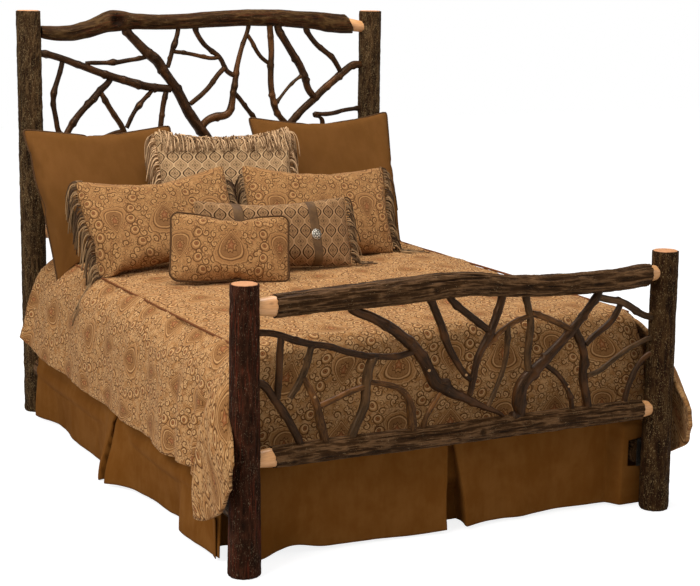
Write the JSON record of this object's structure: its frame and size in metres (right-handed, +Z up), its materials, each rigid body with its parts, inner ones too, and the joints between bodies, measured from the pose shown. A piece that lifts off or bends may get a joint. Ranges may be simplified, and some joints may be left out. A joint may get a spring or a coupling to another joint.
{
  "type": "rustic log bed",
  "caption": "Rustic bark-on log bed with branch-filled headboard and footboard, dressed with a draped comforter, bed skirt and leaning pillows.",
  "frame": {"origin": "on the floor, in the middle of the bed", "axes": "+X to the right seen from the foot, +Y from the foot to the head, +Z up"},
  "size_m": [1.92, 2.4099, 1.7635],
  "materials": {
    "bark_log": "bark-on hickory log under clear finish",
    "bark_branch": "smooth bark under clear varnish",
    "sawn_pine": "planed, unfinished",
    "zinc_steel": "zinc plated",
    "ticking": "woven ticking",
    "paisley_jacquard": "woven paisley jacquard",
    "taupe_jacquard": "woven diamond jacquard",
    "tan_suede": "brushed faux suede",
    "brown_suede": "brushed faux suede",
    "rust_cord": "covered cord",
    "strap_leather": "brown suede leather",
    "concho_silver": "antique silver"
  },
  "bodies": {
    "root": {"head_post_left": "bark_log", "head_post_right": "bark_log", "foot_post_left": "bark_log", "foot_post_right": "bark_log", "head_top_rail": "bark_log", "head_lower_rail": "bark_log", "foot_top_rail": "bark_log", "foot_lower_rail": "bark_log", "side_rail_left": "bark_log", "side_rail_right": "bark_log", "head_main_diagonal": "bark_branch", "head_left_strut": "bark_branch", "head_right_diagonal": "bark_branch", "head_right_upright": "bark_branch", "head_right_brace": "bark_branch", "head_elbow": "bark_branch", "head_crossing_twig": "bark_branch", "head_left_brace": "bark_branch", "head_centre_upright": "bark_branch", "head_brown_brace": "bark_branch", "head_twigs_left": "bark_branch", "head_twigs_centre": "bark_branch", "head_twigs_right": "bark_branch", "foot_centre_crook": "bark_branch", "foot_long_diagonal": "bark_branch", "foot_left_strut": "bark_branch", "foot_left_brace": "bark_branch", "foot_left_knee": "bark_branch", "foot_cut_branch": "bark_branch", "foot_centre_v": "bark_branch", "foot_left_v": "bark_branch", "foot_gnarled_upright": "bark_branch", "foot_right_upright": "bark_branch", "foot_right_strut": "bark_branch", "foot_twigs_left": "bark_branch", "foot_twigs_centre": "bark_branch", "foot_twigs_right": "bark_branch", "slat_ledgers": "sawn_pine", "bed_slats": "sawn_pine", "centre_beam": "sawn_pine", "centre_legs": "sawn_pine", "rail_hooks": "zinc_steel", "post_plates": "zinc_steel", "plate_screws": "zinc_steel", "box_spring": "ticking", "mattress": "ticking", "comforter": "paisley_jacquard", "sham_left": "paisley_jacquard", "sham_right": "paisley_jacquard", "boudoir_pillow": "paisley_jacquard", "fringed_square_pillow": "taupe_jacquard", "lumbar_pillow": "taupe_jacquard", "euro_pillow_left": "tan_suede", "euro_pillow_right": "tan_suede", "skirt_left": "brown_suede", "skirt_right": "brown_suede", "skirt_foot": "brown_suede", "comforter_welt": "rust_cord", "lumbar_straps": "strap_leather", "strap_concho": "concho_silver"}
  },
  "joints": []
}
